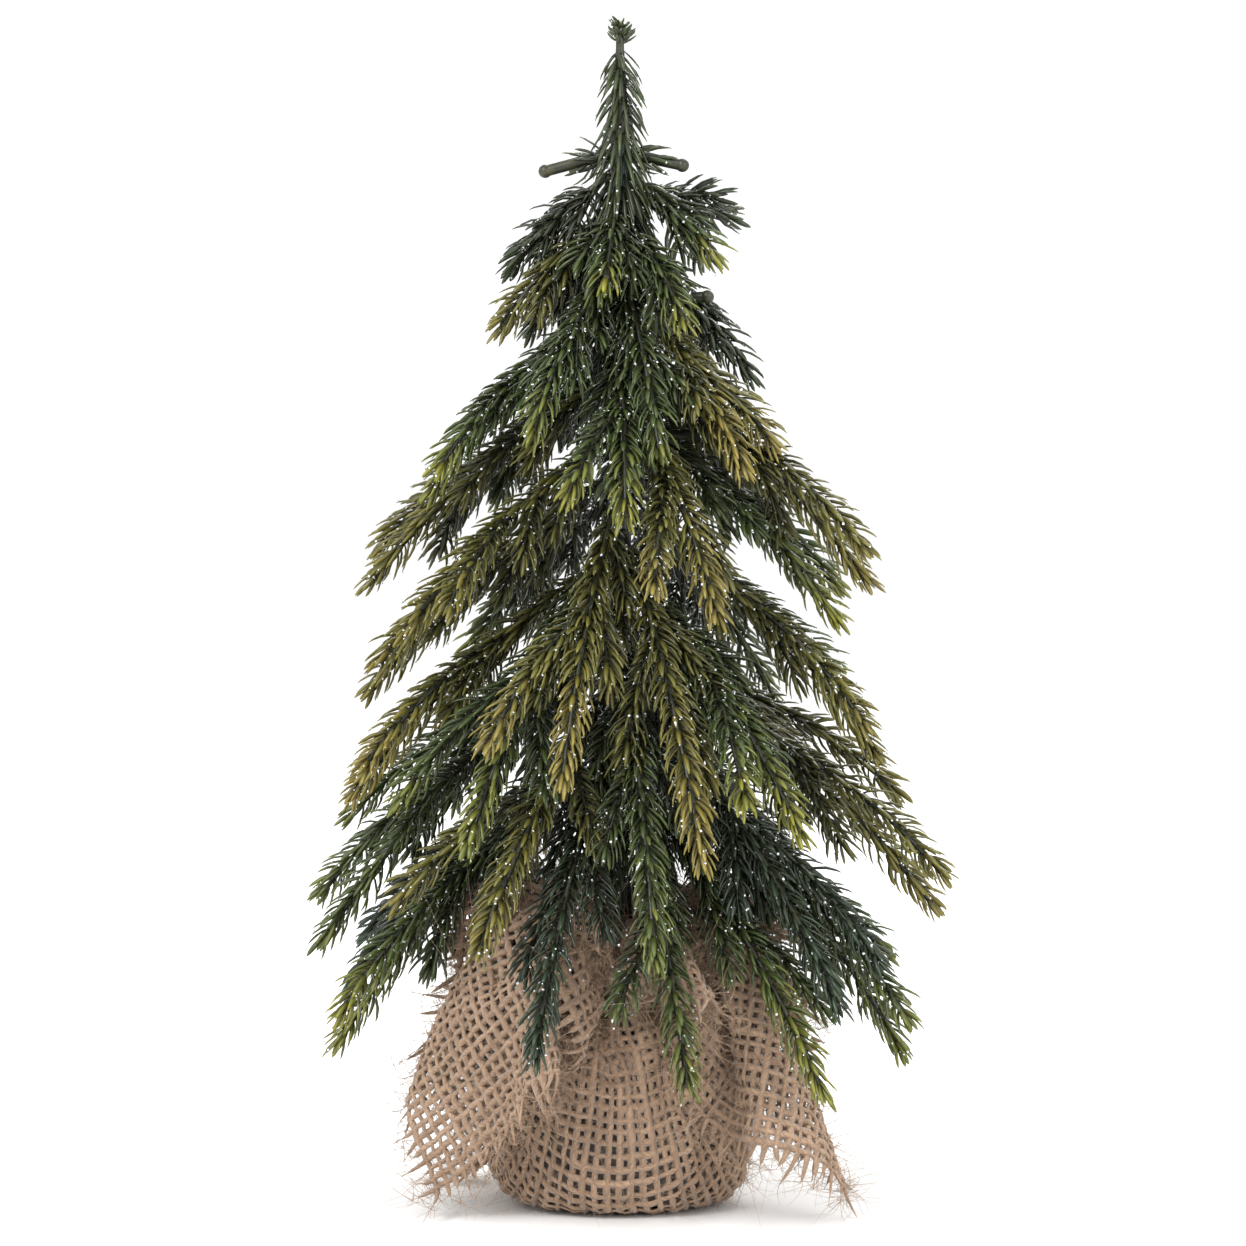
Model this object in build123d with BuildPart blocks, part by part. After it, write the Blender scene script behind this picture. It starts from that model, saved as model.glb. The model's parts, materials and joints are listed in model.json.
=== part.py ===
from build123d import *
import os
from math import cos, hypot, radians, sin

# Miniature artificial tree, 200 mm class, in millimetres, +Z up, -Y is the front.
# The origin is the centre of the underside of the burlap-wrapped base.

# ---- base and burlap --------------------------------------------------------------
BASE_RADIUS = 20.2
BASE_HEIGHT = 30.0
BASE_EDGE = 5.0
BURLAP_THICKNESS = 1.2
BURLAP_CLEARANCE = 0.1
SHOULDER_SHARE = 0.74
SHOULDER_RISE = 3.0
NECK_RADIUS = 6.0
NECK_RISE = 17.7
TIE_RISE = 13.2
TIE_TWINE_RADIUS = 0.7
TIE_TURN_PITCH = 1.26
TIE_CLEARANCE = 0.05

# ---- trunk ------------------------------------------------------------------------
WIRE_RADIUS = 0.8
WIRE_SOCKET_DEPTH = 22.0
WIRE_CLEARANCE = 0.05
WRAP_FOOT_RADIUS = 2.2
WRAP_TOP_RADIUS = 1.6
WRAP_SEAM_AZIMUTH = -141.0
WRAP_LAPS = 12
WRAP_SWELL = 0.05
TREE_HEIGHT = 198.5
LEADER_LENGTH = 20.5
LEADER_COLLAR = 2.0
LEADER_SOCKET_DEPTH = 6.0
LEADER_NECK = 4.5
LEADER_TOP_RADIUS = 0.7

# ---- sprigs -----------------------------------------------------------------------
STEM_RADIUS = 0.5
TWIG_RADIUS = 0.4
ROOT_BALL_RADIUS = 0.75
ROOT_CLEARANCE = 0.1
ROOT_STANDOFF = 0.35
STEM_BULGE = 0.05
FORK_SHARE = 0.42
TWIG_SHARE = 0.55
TWIG_LIFT = 6.0
BULB_SHARE = 1.2

# Each sprig: azimuth in degrees (0 is +X, -90 is the front), place of its root along the
# bare trunk (0 at the burlap neck, 1 at the top), how far its tip reaches from the trunk's
# axis, the tip's height on the same scale, and the angles by which its side twigs turn
# away from it, seen from above.
SPRIGS = [
    (178, 0.957, 17.5, 0.845, ()),
    (-5, 0.958, 15.5, 0.86, ()),
    (92, 0.953, 17, 0.837, (40,)),
    (28, 0.93, 20.5, 0.907, ()),
    (-100, 0.922, 13, 0.829, ()),
    (-167, 0.907, 20, 0.767, ()),
    (-55, 0.899, 18, 0.775, ()),
    (138, 0.891, 20, 0.76, (-40,)),
    (5, 0.868, 21.5, 0.705, ()),
    (50, 0.845, 22, 0.721, (40,)),
    (-128, 0.845, 23, 0.636, ()),
    (-74, 0.829, 23, 0.616, ()),
    (-39, 0.814, 26, 0.589, (36,)),
    (-177, 0.791, 31, 0.558, (35,)),
    (101, 0.783, 27, 0.597, (40, -40)),
    (-88, 0.752, 28, 0.531, (-35,)),
    (-9, 0.729, 41, 0.442, (-22,)),
    (150, 0.721, 33, 0.504, (-40,)),
    (35, 0.705, 34, 0.488, (-30, 35)),
    (172, 0.694, 42, 0.434, (-25,)),
    (-62, 0.682, 33, 0.411, (-35,)),
    (3, 0.651, 36, 0.388, (25,)),
    (84, 0.643, 37, 0.403, (45,)),
    (-154, 0.612, 39, 0.38, (35,)),
    (132, 0.574, 40, 0.302, (45, -40)),
    (179, 0.558, 41.5, 0.295, (36,)),
    (-104, 0.543, 38, 0.205, (-35,)),
    (52, 0.535, 42, 0.271, (32, -45)),
    (-9, 0.527, 43, 0.217, (-30,)),
    (-72, 0.496, 43, 0.105, ()),
    (-127, 0.473, 41, 0.12, (-48,)),
    (-170, 0.457, 45, 0.163, (28,)),
    (94, 0.453, 43, 0.178, (22, -40)),
    (-46, 0.442, 42, 0.132, (-30,)),
    (32, 0.388, 48, 0.101, (-30, 30)),
    (147, 0.38, 47, 0.07, (22, -35)),
    (-83, 0.372, 46, -0.016, ()),
    (7, 0.349, 53, 0.008, (-30,)),
    (173, 0.333, 50.5, -0.039, (-20,)),
    (72, 0.318, 48, 0.008, (28, -35)),
    (-120, 0.302, 45, -0.008, (-52,)),
    (-36, 0.295, 44, -0.093, (20,)),
    (113, 0.279, 48, -0.039, (22, -40)),
    (-107, 0.248, 47, -0.14, ()),
    (160, 0.236, 48, -0.101, (-20,)),
    (-5, 0.233, 47, -0.171, (-25,)),
    (-176, 0.217, 47, -0.163, (30,)),
    (40, 0.209, 48, -0.116, (22, -30)),
    (-76, 0.202, 45, -0.174, ()),
    (-43, 0.171, 45, -0.198, ()),
]

# ---- bare stem ends ---------------------------------------------------------------
STUB_RADIUS = 0.95
STUB_WALL = 0.35
STUBS = [
    # azimuth, place of its root on the trunk, reach, drop of the tip
    (180, 0.988, 12.5, 3.0),
    (-8, 0.988, 10.5, 2.0),
    (-14, 0.795, 15.0, -1.0),
    (-24, 0.625, 21.0, 0.0),
]

# ---- free burlap corners that hang over the wrap ------------------------------------
# first azimuth, sweep angle, how far the hem stands out from the wrap, height of the hem
FLAPS = [
    (-172, 62, 10.5, 0.3),
    (-24, 40, 13.5, 14.0),
    (62, 60, 9.5, 5.0),
]
FLAP_THICKNESS = 1.0
FLAP_ROOT_DROP = 1.2
FOLD_SHOULDER_SHARE = 0.7
FOLD_SHOULDER_DROP = 7.0
FOLD_CREST_DROP = 20.0
HEM_FLARE = 1.5

BURLAP_RADIUS = BASE_RADIUS + BURLAP_CLEARANCE + BURLAP_THICKNESS
BASE_BOTTOM = BURLAP_THICKNESS + BURLAP_CLEARANCE
BASE_TOP = BASE_BOTTOM + BASE_HEIGHT
NECK_HEIGHT = BASE_TOP + NECK_RISE
TIE_HEIGHT = BASE_TOP + TIE_RISE
FLAP_HEIGHT = NECK_HEIGHT - FLAP_ROOT_DROP
TRUNK_TOP = TREE_HEIGHT - LEADER_LENGTH
WIRE_FOOT = BASE_TOP - WIRE_SOCKET_DEPTH


def polar(azimuth, reach, height):
    """Point at an azimuth, a distance from the trunk's axis and a height."""
    return Vector(reach * cos(radians(azimuth)), reach * sin(radians(azimuth)), height)


def trunk_height(place):
    """Height of a place on the bare trunk, from 0 at the burlap neck to 1 at the top."""
    return NECK_HEIGHT + place * (TRUNK_TOP - NECK_HEIGHT)


def wrap_radius(height):
    """Outer radius of the tapering trunk wrap at a height."""
    share = (height - BASE_TOP) / (TRUNK_TOP - BASE_TOP)
    return WRAP_FOOT_RADIUS + (WRAP_TOP_RADIUS - WRAP_FOOT_RADIUS) * share


def upright_plane(azimuth):
    """Vertical plane through the trunk's axis, with its X pointing out at an azimuth."""
    outward = polar(azimuth, 1, 0)
    return Plane(origin=(0, 0, 0), x_dir=outward, z_dir=outward.cross(Vector(0, 0, 1)))


def section_plane(line, azimuth):
    """Plane square to the start of a line that lies in the upright plane at an azimuth."""
    return Plane(origin=line @ 0, x_dir=polar(azimuth - 90, 1, 0), z_dir=line % 0)


def arched(start, end):
    """The three points of an arc that leaves flat and droops towards its end."""
    run = end - start
    sideways = Vector(run.Y, -run.X, 0).normalized()
    outward = run.cross(sideways).normalized()
    if outward.Z < 0:
        outward = outward * -1
    return start, start + run * 0.5 + outward * (run.length * STEM_BULGE), end


def sprig_root(azimuth, place):
    """Centre of the ball at a sprig's root, which is also its bending point."""
    height = trunk_height(place)
    return polar(azimuth, wrap_radius(height) + ROOT_STANDOFF, height)


def twig_tip(fork, root, tip, azimuth, turn):
    """End of a side twig: shorter than its sprig, turned away from it and less drooping."""
    run = tip - root
    flat = hypot(run.X, run.Y)
    slope = Vector(flat, 0, run.Z).rotate(Axis.Y, -TWIG_LIFT)
    return fork + (slope * TWIG_SHARE).rotate(Axis.Z, azimuth + turn)


# ---- base weight --------------------------------------------------------------------
with BuildPart() as base_weight:
    with BuildSketch(Plane.XY.offset(BASE_BOTTOM)):
        Circle(BASE_RADIUS)
    extrude(amount=BASE_HEIGHT)
    fillet(base_weight.edges().filter_by(GeomType.CIRCLE), BASE_EDGE)
    with Locations((0, 0, BASE_TOP)):
        Hole(WIRE_RADIUS + WIRE_CLEARANCE, depth=WIRE_SOCKET_DEPTH)

# ---- burlap wrap: cup, gathered neck and free corners ---------------------------------
with BuildPart() as burlap_wrap:
    with BuildSketch(Plane.XZ):
        with BuildLine():
            edge = BASE_EDGE + BURLAP_THICKNESS
            wall_top = BASE_TOP - BASE_EDGE
            bottom = Line((0, 0), (BURLAP_RADIUS - edge, 0))
            heel = TangentArc(bottom @ 1, (BURLAP_RADIUS, edge), tangent=(1, 0))
            wall = Line(heel @ 1, (BURLAP_RADIUS, wall_top))
            shoulder = ThreePointArc(
                wall @ 1,
                (BURLAP_RADIUS * SHOULDER_SHARE, BASE_TOP + SHOULDER_RISE),
                (NECK_RADIUS, TIE_HEIGHT - TIE_TURN_PITCH - TIE_TWINE_RADIUS),
            )
            neck = Line(shoulder @ 1, (NECK_RADIUS, NECK_HEIGHT))
            top = Line(neck @ 1, (0, NECK_HEIGHT))
            Line(top @ 1, (0, 0))
        make_face()
    revolve(axis=Axis.Z)
    for first, sweep_angle, overhang, hem in FLAPS:
        reach = BURLAP_RADIUS + overhang
        with BuildSketch(upright_plane(first)):
            with BuildLine():
                crest = ThreePointArc(
                    (NECK_RADIUS - FLAP_THICKNESS, FLAP_HEIGHT),
                    (reach * FOLD_SHOULDER_SHARE, FLAP_HEIGHT - FOLD_SHOULDER_DROP),
                    (reach - HEM_FLARE, FLAP_HEIGHT - FOLD_CREST_DROP),
                )
                Line(crest @ 1, (reach, hem))
            trace(line_width=FLAP_THICKNESS)
        revolve(axis=Axis.Z, revolution_arc=sweep_angle)
    with BuildSketch(Plane.XZ) as cavity:
        with Locations((0, BURLAP_THICKNESS)):
            Rectangle(
                BASE_RADIUS + BURLAP_CLEARANCE,
                BASE_HEIGHT + 2 * BURLAP_CLEARANCE,
                align=(Align.MIN, Align.MIN),
            )
        fillet(cavity.vertices().group_by(Axis.X)[-1], BASE_EDGE)
    revolve(axis=Axis.Z, mode=Mode.SUBTRACT)
    with BuildSketch(Plane.XY.offset(BASE_TOP)):
        Circle(WRAP_FOOT_RADIUS + WIRE_CLEARANCE)
    extrude(amount=NECK_HEIGHT, mode=Mode.SUBTRACT)

# ---- neck tie: two turns of twine -----------------------------------------------------
with BuildPart() as neck_tie:
    tie_radius = NECK_RADIUS + TIE_CLEARANCE + TIE_TWINE_RADIUS
    with BuildSketch(Plane.XZ):
        with Locations((tie_radius, TIE_HEIGHT)):
            with GridLocations(0, TIE_TURN_PITCH, 1, 2):
                Circle(TIE_TWINE_RADIUS)
    revolve(axis=Axis.Z)

# ---- trunk wire -----------------------------------------------------------------------
with BuildPart() as trunk_wire:
    with BuildSketch(Plane.XY.offset(WIRE_FOOT)):
        Circle(WIRE_RADIUS)
    extrude(amount=TRUNK_TOP + LEADER_SOCKET_DEPTH - WIRE_CLEARANCE - WIRE_FOOT)

# ---- stems, made before the wrap so that it can be cut to seat them ---------------------
sprig_parts = []
for number, (azimuth, place, reach, tip_place, turns) in enumerate(SPRIGS, start=1):
    root = sprig_root(azimuth, place)
    tip = polar(azimuth, reach, trunk_height(tip_place))
    with BuildPart() as sprig:
        with BuildLine() as stem_line:
            stem = ThreePointArc(*arched(root, tip))
        with BuildSketch(section_plane(stem, azimuth)):
            Circle(STEM_RADIUS)
        sweep(path=stem)
        with Locations(Location(root, (0, 0, azimuth + 180))):
            Sphere(ROOT_BALL_RADIUS)
        with Locations(Location(tip, (0, 0, azimuth))):
            Sphere(STEM_RADIUS * BULB_SHARE)
        fork = stem @ FORK_SHARE
        for turn in turns:
            end = twig_tip(fork, root, tip, azimuth, turn)
            with BuildLine() as twig_line:
                twig = ThreePointArc(*arched(fork, end))
            with BuildSketch(section_plane(twig, azimuth + turn)):
                Circle(TWIG_RADIUS)
            sweep(path=twig)
            with Locations(Location(end, (0, 0, azimuth + turn))):
                Sphere(TWIG_RADIUS * BULB_SHARE)
    sprig.part.label = f"sprig_{number:02d}"
    sprig_parts.append(sprig.part)

stub_parts = []
for number, (azimuth, place, reach, drop) in enumerate(STUBS, start=1):
    root_height = trunk_height(place)
    seat = polar(azimuth, WIRE_RADIUS + WIRE_CLEARANCE + STUB_WALL, root_height)
    tip = polar(azimuth, reach, root_height - drop)
    with BuildPart() as stub:
        with BuildLine() as stub_line:
            arm = Line(seat, tip)
        with BuildSketch(Plane(origin=seat, z_dir=arm % 0)):
            Circle(STUB_RADIUS)
        sweep(path=arm)
        with Locations(tip):
            Sphere(STUB_RADIUS * BULB_SHARE)
    stub.part.label = f"bare_stub_{number}"
    stub_parts.append(stub.part)

# ---- trunk wrap, with a seat for every root -------------------------------------------
with BuildPart() as trunk_wrap:
    outline = [(0, BASE_TOP)]
    for lap in range(WRAP_LAPS + 1):
        lap_height = BASE_TOP + (TRUNK_TOP - BASE_TOP) * lap / WRAP_LAPS
        swell = WRAP_SWELL if lap % 2 else -WRAP_SWELL
        outline.append((wrap_radius(lap_height) + swell, lap_height))
    outline.append((0, TRUNK_TOP))
    with BuildSketch(upright_plane(WRAP_SEAM_AZIMUTH)):
        Polygon(*outline, align=None)
    revolve(axis=Axis.Z)
    with BuildSketch(Plane.XY.offset(BASE_TOP)):
        Circle(WIRE_RADIUS + WIRE_CLEARANCE)
    extrude(amount=TRUNK_TOP - BASE_TOP, mode=Mode.SUBTRACT)
    for azimuth, place, *_ in SPRIGS:
        with Locations(Location(sprig_root(azimuth, place), (0, 0, azimuth))):
            Sphere(ROOT_BALL_RADIUS + ROOT_CLEARANCE, mode=Mode.SUBTRACT)
    for stub_part in stub_parts:
        add(stub_part, mode=Mode.SUBTRACT)

# ---- leader ---------------------------------------------------------------------------
with BuildPart() as leader_sprig:
    with BuildSketch(Plane.XZ):
        with BuildLine():
            neck_height = TREE_HEIGHT - LEADER_NECK
            foot = Line((0, TRUNK_TOP), (WRAP_TOP_RADIUS, TRUNK_TOP))
            collar = Line(foot @ 1, (WRAP_TOP_RADIUS, TRUNK_TOP + LEADER_COLLAR))
            taper = Line(collar @ 1, (LEADER_TOP_RADIUS, neck_height))
            spike = Line(taper @ 1, (LEADER_TOP_RADIUS, TREE_HEIGHT - LEADER_TOP_RADIUS))
            crown = RadiusArc(spike @ 1, (0, TREE_HEIGHT), -LEADER_TOP_RADIUS)
            Line(crown @ 1, foot @ 0)
        make_face()
    revolve(axis=Axis.Z)
    with BuildSketch(Plane.XY.offset(TRUNK_TOP)):
        Circle(WIRE_RADIUS + WIRE_CLEARANCE)
    extrude(amount=LEADER_SOCKET_DEPTH, mode=Mode.SUBTRACT)

# ---- labels and files -----------------------------------------------------------------
base_weight.part.label = "base_weight"
burlap_wrap.part.label = "burlap_wrap"
neck_tie.part.label = "neck_tie"
trunk_wire.part.label = "trunk_wire"
trunk_wrap.part.label = "trunk_wrap"
leader_sprig.part.label = "leader_sprig"

os.makedirs("parts", exist_ok=True)
fixed_parts = [base_weight, burlap_wrap, neck_tie, trunk_wire, trunk_wrap, leader_sprig]
for piece in [part.part for part in fixed_parts] + stub_parts + sprig_parts:
    export_step(piece, f"parts/{piece.label}.step")
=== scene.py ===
import json
import math

import bpy
import numpy as np
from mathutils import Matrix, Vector


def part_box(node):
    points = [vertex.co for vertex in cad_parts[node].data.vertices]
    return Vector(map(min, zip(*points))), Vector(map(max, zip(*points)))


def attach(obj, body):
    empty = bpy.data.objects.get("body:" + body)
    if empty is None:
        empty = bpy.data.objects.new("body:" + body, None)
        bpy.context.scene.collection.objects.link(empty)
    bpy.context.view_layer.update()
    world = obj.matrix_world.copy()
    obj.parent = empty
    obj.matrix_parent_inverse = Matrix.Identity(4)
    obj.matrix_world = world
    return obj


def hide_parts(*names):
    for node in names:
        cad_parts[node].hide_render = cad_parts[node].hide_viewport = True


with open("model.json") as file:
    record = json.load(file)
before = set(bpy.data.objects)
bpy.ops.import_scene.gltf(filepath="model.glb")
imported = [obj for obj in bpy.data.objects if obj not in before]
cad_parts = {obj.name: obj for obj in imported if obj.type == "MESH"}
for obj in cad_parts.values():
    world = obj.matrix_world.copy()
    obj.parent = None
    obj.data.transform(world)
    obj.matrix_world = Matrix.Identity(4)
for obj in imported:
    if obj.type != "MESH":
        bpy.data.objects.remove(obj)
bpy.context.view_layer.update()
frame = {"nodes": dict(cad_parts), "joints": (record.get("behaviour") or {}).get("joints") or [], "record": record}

# Lengths below are in millimetres unless a name says otherwise; MM turns them into metres.
MM = 0.001
rng = np.random.default_rng(20)

# ---- shape constants shared with the CAD model -------------------------------------------
STEM_BULGE = 0.05
FORK_SHARE = 0.42
STEM_RADIUS = 0.5
TWIG_RADIUS = 0.4

# ---- needles --------------------------------------------------------------------------------
NEEDLE_LENGTH = 5.5
NEEDLE_WIDTH = 0.86
NEEDLE_THICKNESS = 0.42
NEEDLES_PER_MM = 3.1
NEEDLE_OPENING = math.radians(56)
NEEDLE_CLOSING = math.radians(16)
FLATNESS = 0.75                  # of a brush: height over width
BARE_ROOT = 3.0
TONE_LEVELS = 64
TONE_SPREAD = 0.07
GOLDEN_ANGLE = math.radians(137.508)
FLAKE_RADIUS = 0.23
FLAKES_PER_NEEDLE = 0.75
FLAKES_ON_TOP = 0.8              # share of the flakes that lie on the needles' outer side
NEEDLE_SEAT = 0.6                # depth of a needle's foot, in stem radii from the centre
LENGTH_SPREAD = (0.82, 1.12)
OPENING_SPREAD = (0.8, 1.2)
WIDTH_SPREAD = (0.85, 1.15)
SHOOT_RADIUS = 0.32
SHOOT_PITCH, SHOOT_PITCH_SPREAD = -0.12, 0.14
SHOOT_TURNS = (0.4, 0.95)
SHOOT_REACHES = (0.24, 0.36)     # of the stem's length
SHORTEST_SHOOT = 9.0
SHOOT_PLACES = (0.10, 0.21, 0.33, 0.46)
STEM_BAND = 1.3                  # stem radii either side of its plane that hold the stem's mesh
TWIG_BAND = 3.0                  # stem radii beyond which the mesh is a twig's
TIP_BAND = 2.2                   # twig radii round a tip that are averaged to its centre
TIP_SHARE = 0.14                 # last share of a brush, where it closes to a point
BAND_MARGIN = 0.08               # of a UV band, left empty at either edge


# ---- small helpers ----------------------------------------------------------------------------
def unit(vectors):
    """Vectors scaled to length one."""
    vectors = np.asarray(vectors, dtype=float)
    return vectors / np.maximum(np.linalg.norm(vectors, axis=-1, keepdims=True), 1e-12)


def new_mesh(name, verts_mm, quads, uvs=None, material_index=None):
    """Mesh object from arrays: vertices in mm, four-cornered faces and a UV at each face's corners."""
    mesh = bpy.data.meshes.new(name)
    mesh.vertices.add(len(verts_mm))
    mesh.vertices.foreach_set("co", (np.asarray(verts_mm) * MM).astype(np.float32).ravel())
    mesh.loops.add(quads.size)
    mesh.loops.foreach_set("vertex_index", quads.astype(np.int32).ravel())
    mesh.polygons.add(len(quads))
    mesh.polygons.foreach_set("loop_start", np.arange(0, quads.size, 4, dtype=np.int32))
    mesh.polygons.foreach_set("use_smooth", np.ones(len(quads), dtype=bool))
    if material_index is not None:
        mesh.polygons.foreach_set("material_index", material_index.astype(np.int32))
    if uvs is not None:
        layer = mesh.uv_layers.new(name="OFBake")
        layer.data.foreach_set("uv", uvs.astype(np.float32).ravel())
    mesh.update(calc_edges=True)
    obj = bpy.data.objects.new(name, mesh)
    bpy.context.scene.collection.objects.link(obj)
    return obj


def arc_through(start, middle, end, shares):
    """Points and unit tangents along the circular arc through three points."""
    a, b = middle - start, end - start
    normal = np.cross(a, b)
    centre = start + (np.cross(normal, a) * b.dot(b) + np.cross(b, normal) * a.dot(a)) / (
        2 * normal.dot(normal)
    )
    first = start - centre
    across = np.cross(unit(normal), first)
    last = end - centre
    sweep = math.atan2(last.dot(across), last.dot(first)) % (2 * math.pi)
    angles = np.asarray(shares)[:, None] * sweep
    points = centre + np.cos(angles) * first + np.sin(angles) * across
    tangents = unit(-np.sin(angles) * first + np.cos(angles) * across)
    return points, tangents, sweep * np.linalg.norm(first)


def arched(start, end):
    """The three points of a drooping stem, as the CAD model bends it."""
    run = end - start
    outward = unit(np.cross(run, (run[1], -run[0], 0.0)))
    if outward[2] < 0:
        outward = -outward
    return start, (start + end) / 2 + outward * np.linalg.norm(run) * STEM_BULGE, end


def stems_of(node, joint):
    """Centre-lines of a sprig's stem and twigs, found on its CAD mesh: (three points, radius)."""
    mesh = frame["nodes"][node].data
    verts = np.empty(len(mesh.vertices) * 3, dtype=np.float32)
    mesh.vertices.foreach_get("co", verts)
    verts = verts.reshape(-1, 3).astype(float) / MM
    root = np.array(joint["pos_m"]) / MM
    away = np.linalg.norm(verts - root, axis=1)
    beside = (verts - root) @ np.array(joint["axis"])
    in_plane = np.abs(beside) < STEM_RADIUS * STEM_BAND

    def tip_of(chosen):
        far = verts[chosen][np.argmax(away[chosen])]
        near_tip = chosen & (np.linalg.norm(verts - far, axis=1) < TIP_BAND * TWIG_RADIUS)
        return verts[near_tip].mean(axis=0)

    stem = arched(root, tip_of(in_plane))
    found = [(stem, STEM_RADIUS)]
    fork = arc_through(*stem, [FORK_SHARE])[0][0]
    for side in (1, -1):
        chosen = beside * side > TWIG_BAND * STEM_RADIUS
        if chosen.any():
            found.append((arched(fork, tip_of(chosen)), TWIG_RADIUS))
    return found


def tubes(centres, wide, thin, half_width, half_thickness, sides, band_start, band_count):
    """Flattened tubes along rows of points, with one UV band each; arrays are (tube, point, 3)."""
    count, length = centres.shape[:2]
    angles = 2 * math.pi * np.arange(sides) / sides
    ring = (
        centres[:, :, None]
        + wide[:, :, None] * np.cos(angles)[:, None] * half_width[:, :, None, None]
        + thin[:, :, None] * np.sin(angles)[:, None] * half_thickness[:, :, None, None]
    )
    index = np.arange(count * length * sides).reshape(count, length, sides)
    turned = np.roll(index, -1, axis=2)
    quads = np.stack([index[:, :-1], turned[:, :-1], turned[:, 1:], index[:, 1:]], axis=-1)
    along = np.linspace(0, 1, length)
    around = np.arange(sides + 1) / sides
    band = (np.arange(count) + band_start)[:, None, None]
    u0 = np.broadcast_to(along[None, :-1, None], quads.shape[:3])
    u1 = np.broadcast_to(along[None, 1:, None], quads.shape[:3])
    level = (band + BAND_MARGIN + (1 - 2 * BAND_MARGIN) * around) / band_count
    v0 = np.broadcast_to(level[:, :, :-1], quads.shape[:3])
    v1 = np.broadcast_to(level[:, :, 1:], quads.shape[:3])
    corners = ((u0, v0), (u0, v1), (u1, v1), (u1, v0))
    uvs = np.stack([np.stack(corner, -1) for corner in corners], axis=-2)
    quads, uvs = quads.reshape(-1, 4), uvs.reshape(-1, 4, 2)
    if sides == 4:
        caps = np.concatenate([index[:, 0, ::-1], index[:, -1]])
        quads = np.concatenate([quads, caps])
        by_tube = uvs.reshape(count, -1, 4, 2)
        uvs = np.concatenate([uvs, by_tube[:, 0], by_tube[:, -1]])
    return ring.reshape(-1, 3), quads, uvs


# ---- needle and glitter geometry -------------------------------------------------------------
NEEDLE_SHARES = np.array([0.0, 0.22, 0.55, 0.84, 1.0])
NEEDLE_OUTLINE = np.array([0.55, 0.92, 1.0, 0.72, 0.22])
NEEDLE_CORNERS = 4


def needle_arrays(bases, tangents, radials, lengths, openings, closings, widths, levels):
    """Vertices, quads and UVs of many needles that bend towards their stem, with centres and backs."""
    count = len(bases)
    t = NEEDLE_SHARES
    bend = (closings - openings)[:, None]
    angle = openings[:, None] + bend * t
    forward = (np.sin(angle) - np.sin(openings)[:, None]) / bend * lengths[:, None]
    outward = (np.cos(openings)[:, None] - np.cos(angle)) / bend * lengths[:, None]
    centre = bases[:, None] + forward[..., None] * tangents[:, None] + outward[..., None] * radials[:, None]
    side = unit(np.cross(tangents, radials))
    twist = rng.normal(0, 0.35, count)
    back = np.cos(angle)[..., None] * radials[:, None] - np.sin(angle)[..., None] * tangents[:, None]
    wide = side[:, None] * np.cos(twist)[:, None, None] + back * np.sin(twist)[:, None, None]
    thin = back * np.cos(twist)[:, None, None] - side[:, None] * np.sin(twist)[:, None, None]
    half_wide = (NEEDLE_OUTLINE * widths[:, None] / 2)[..., None]
    half_thin = half_wide * NEEDLE_THICKNESS / NEEDLE_WIDTH
    across, upward = wide * half_wide, thin * half_thin
    ring = np.stack([centre + across, centre + upward, centre - across, centre - upward], axis=2)
    rings, corners = len(t), NEEDLE_CORNERS
    verts = ring.reshape(-1, 3)
    index = np.arange(count * rings * corners).reshape(count, rings, corners)
    turned = np.roll(index, -1, axis=2)
    walls = np.stack([index[:, :-1], turned[:, :-1], turned[:, 1:], index[:, 1:]], axis=-1).reshape(-1, 4)
    caps = np.concatenate([index[:, -1], index[:, 0, ::-1]])
    quads = np.concatenate([walls, caps])
    u = np.broadcast_to(0.04 + 0.92 * t[None, :, None], (count, rings, corners))
    around = np.broadcast_to(np.array([0.0, 0.5, 1.0, 0.5]), (count, rings, corners))
    v = (levels[:, None, None] + 0.2 + 0.6 * around) / TONE_LEVELS
    uvs = np.stack([u, v], axis=-1).reshape(-1, 2)
    return verts, quads, uvs[quads], centre, back


def flake_arrays(places, normals, radii):
    """Square glitter flakes, a little thick so that each is a closed solid."""
    count = len(places)
    normals = unit(normals)
    a = unit(np.cross(normals, rng.normal(size=(count, 3))))
    b = np.cross(normals, a)
    corners = []
    for layer in (-1, 1):
        for x, y in ((1, 1), (-1, 1), (-1, -1), (1, -1)):
            corners.append(places + (a * x + b * y) * radii[:, None] * 0.7 + normals * layer * 0.02)
    verts = np.stack(corners, axis=1).reshape(-1, 3)
    index = np.arange(count * 8).reshape(count, 8)
    faces = ((0, 3, 2, 1), (4, 5, 6, 7), (0, 1, 5, 4), (1, 2, 6, 5), (2, 3, 7, 6), (3, 0, 4, 7))
    quads = np.concatenate([index[:, list(f)] for f in faces])
    return verts, quads, np.full((*quads.shape, 2), 0.99)


def joined(parts):
    """One set of mesh arrays from several (verts, quads, uvs, material index)."""
    verts, quads, uvs, index, offset = [], [], [], [], 0
    for part_verts, part_quads, part_uvs, slot_index in parts:
        verts.append(part_verts)
        quads.append(part_quads + offset)
        uvs.append(part_uvs)
        index.append(np.full(len(part_quads), slot_index))
        offset += len(part_verts)
    return np.concatenate(verts), np.concatenate(quads), np.concatenate(uvs), np.concatenate(index)


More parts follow.
